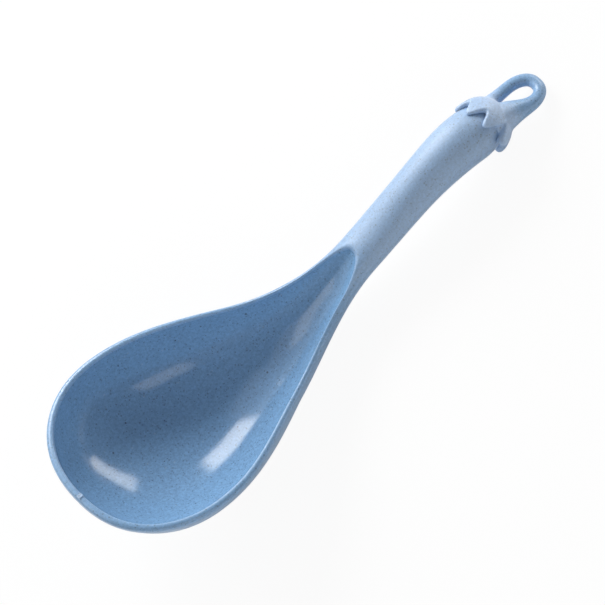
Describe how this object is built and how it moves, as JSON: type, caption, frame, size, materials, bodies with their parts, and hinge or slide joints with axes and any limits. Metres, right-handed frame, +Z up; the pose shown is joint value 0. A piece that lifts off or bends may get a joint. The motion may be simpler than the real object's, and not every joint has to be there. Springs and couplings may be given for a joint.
{
  "type": "soup spoon",
  "caption": "Soup spoon with a deep teardrop bowl, a hollow round handle closed by a back shell, a petalled end cap and a hanging loop.",
  "frame": {"origin": "Middle of the footprint on the table, with the spoon lying on the back of its bowl and on a petal of its cap.", "axes": "+X runs from the bowl's tip to the hanging loop, +Y is to the side, +Z is up, out of the open bowl."},
  "size_m": [0.2188, 0.077, 0.0521],
  "materials": {
    "glossy_blue_plastic": "Light blue straw-filled moulding with fine dark specks, polished in the bowl and satin on the handle.",
    "satin_blue_plastic": "Light blue straw-filled moulding with fine dark specks and a satin surface."
  },
  "bodies": {
    "root": {"spoon_body": "glossy_blue_plastic", "handle_back_shell": "satin_blue_plastic", "calyx_cap": "satin_blue_plastic", "hanging_loop": "satin_blue_plastic"}
  },
  "joints": []
}
